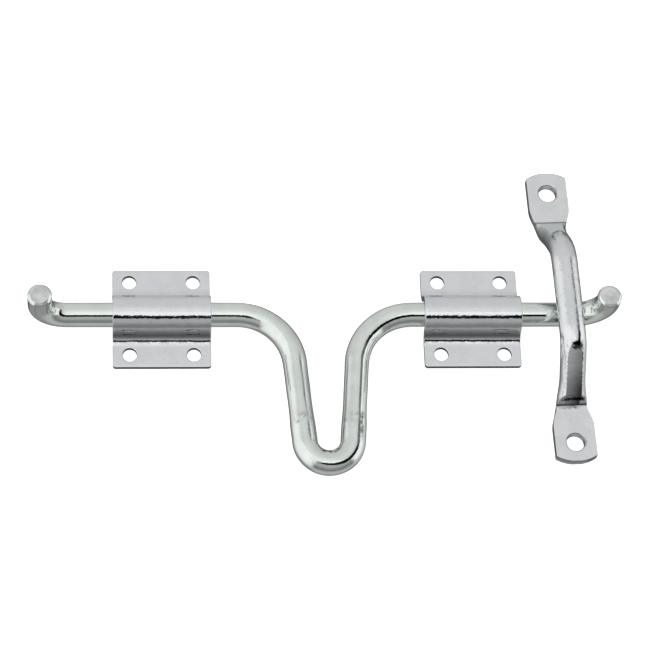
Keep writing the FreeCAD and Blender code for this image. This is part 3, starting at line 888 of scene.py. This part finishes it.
# How bright each panel of the tent is from straight up to straight down, as (degrees from up, level).
TENT_BEHIND = [
    (0, 0.98), (15, 0.86), (25, 0.76), (45, 0.70), (62, 0.70), (80, 0.68), (95, 0.64),
    (110, 0.55), (122, 0.46), (134, 0.34), (143, 0.20), (151, 0.10), (165, 0.08),
]
TENT_LEFT = [
    (0, 0.98), (20, 1.05), (66, 1.08), (82, 1.03), (95, 0.98), (105, 0.92), (113, 0.78),
    (121, 0.54), (130, 0.34), (140, 0.28), (165, 0.32),
]
TENT_LEFT_CORNER = [
    (0, 0.93), (15, 0.82), (26, 0.76), (50, 0.72), (66, 0.70), (98, 0.66), (110, 0.56),
    (122, 0.42), (134, 0.26), (150, 0.12), (165, 0.08),
]
TENT_RIGHT_CORNER = [
    (0, 0.93), (15, 0.82), (26, 0.76), (50, 0.68), (66, 0.62), (98, 0.56), (109, 0.42),
    (121, 0.26), (138, 0.16), (150, 0.10), (165, 0.08),
]
TENT_FRONT = [
    (0, 0.98), (14, 1.10), (26, 1.10), (36, 0.42), (52, 0.48), (64, 0.43), (75, 0.32),
    (86, 0.23), (98, 0.24), (108, 0.38), (122, 0.54), (138, 0.50), (148, 0.40), (157, 0.31),
    (165, 0.28),
]
TENT_RIGHT = [
    (0, 0.93), (15, 0.82), (26, 0.76), (40, 0.52), (52, 0.46), (57, 0.95), (64, 1.04),
    (95, 1.02), (104, 0.74), (120, 0.52), (138, 0.45), (150, 0.22), (165, 0.16),
]
# Each panel's sector: its two edges in degrees of turn from the front towards +X, and their softness.
TENT_SECTORS = [
    (TENT_LEFT, -122, -38, 22),
    (TENT_LEFT_CORNER, -166, -120, 8),
    (TENT_RIGHT_CORNER, 112, 166, 8),
    (TENT_FRONT, -38, 64, 6),
    (TENT_RIGHT, 64, 118, 7),
]
GAP_SECTOR = (-30, 126, 7)
GAP_LEVEL = 0.006


def make_world():
    """A light tent: bright panels round the object, dimmer in front, with a dark gap for the lens."""
    world = bpy.data.worlds.new("light_tent")
    bpy.context.scene.world = world
    world.use_nodes = True
    nodes = Nodes(world.node_tree)
    way = nodes.add("SeparateXYZ", {"Vector": nodes.add("TexCoord").outputs["Generated"]})
    x, y, z = way.outputs
    height = nodes.maths("MINIMUM", nodes.maths("MAXIMUM", z, -1.0), 1.0)
    fall = nodes.maths("DEGREES", nodes.maths("ARCCOSINE", height))
    turn = nodes.maths("DEGREES", nodes.maths("ARCTAN2", x, nodes.maths("MULTIPLY", y, -1.0)))
    share = nodes.maths("DIVIDE", fall, 180.0)

    def panel(stops):
        """The level at each height of the tent, as a ramp through the stops."""
        ramp = nodes.add("ValToRGB", {"Fac": share})
        elements = ramp.color_ramp.elements
        while len(elements) < len(stops):
            elements.new(0.5)
        for element, (angle, level) in zip(elements, stops):
            element.position = angle / 180
            element.color = (level, level, level, 1)
        return ramp.outputs["Color"]

    def sector(low, high, soft):
        """1 where the turn from the front towards +X lies between low and high."""
        return nodes.maths("MULTIPLY", nodes.between(turn, low - soft, low + soft),
                           nodes.between(turn, high - soft, high + soft, 1.0, 0.0))

    tent = panel(TENT_BEHIND)
    for stops, low, high, soft in TENT_SECTORS:
        tent = nodes.blend(sector(low, high, soft), tent, panel(stops))
    # The gap sits lower and grows taller as it turns towards +X, then narrows and fades out.
    gap_middle = nodes.between(turn, 0.0, 90.0, 33.5, 49.5)
    widening = nodes.between(turn, 5.0, 40.0, 8.8, 12.8)
    narrowing = nodes.between(turn, 60.0, 90.0, 0.0, 2.0)
    gap_half = nodes.maths("SUBTRACT", widening, narrowing)
    off = nodes.maths("ABSOLUTE", nodes.maths("SUBTRACT", fall, gap_middle))
    off = nodes.maths("DIVIDE", off, gap_half)
    gap = nodes.maths("MULTIPLY", nodes.between(off, 0.85, 1.15, 1.0, 0.0), sector(*GAP_SECTOR))
    gap = nodes.maths("MULTIPLY", gap, nodes.between(turn, 92.0, 112.0, 1.0, 0.65))
    tent = nodes.blend(gap, tent, (GAP_LEVEL, GAP_LEVEL, GAP_LEVEL, 1))
    background = nodes.add("Background", {"Color": tent, "Strength": 1.0})
    output = nodes.add("OutputWorld")
    world.node_tree.links.new(background.outputs[0], output.inputs["Surface"])


# The camera's turn from the front, its height, its lean, and how far it stands from what it aims at.
AZIMUTH = math.radians(-12.04)
ELEVATION = math.radians(65.21)
ROLL = math.radians(10.9)
DISTANCE = 1.4595
AIM = Vector((-76.6 * MM, -2.7 * MM, 0))
LENS = 154.64


def make_camera():
    """A long lens above the object and a little to its left, leaning with a small roll."""
    flat = math.cos(ELEVATION)
    back = Vector((math.sin(AZIMUTH) * flat, -math.cos(AZIMUTH) * flat, math.sin(ELEVATION)))
    level = Z_AXIS.cross(back).normalized()
    upright = back.cross(level)
    right = level * math.cos(ROLL) + upright * math.sin(ROLL)
    up = back.cross(right)
    camera = bpy.data.objects.new("camera", bpy.data.cameras.new("camera"))
    bpy.context.scene.collection.objects.link(camera)
    camera.data.lens = LENS
    camera.data.sensor_width = 36.0
    camera.data.clip_start = 0.05
    camera.data.clip_end = 30.0
    turned = Matrix((right, up, back)).transposed().to_4x4()
    camera.matrix_world = Matrix.Translation(AIM + back * DISTANCE) @ turned
    bpy.context.scene.camera = camera


make_floor()
make_world()
make_camera()
bpy.context.scene.view_settings.view_transform = "Standard"
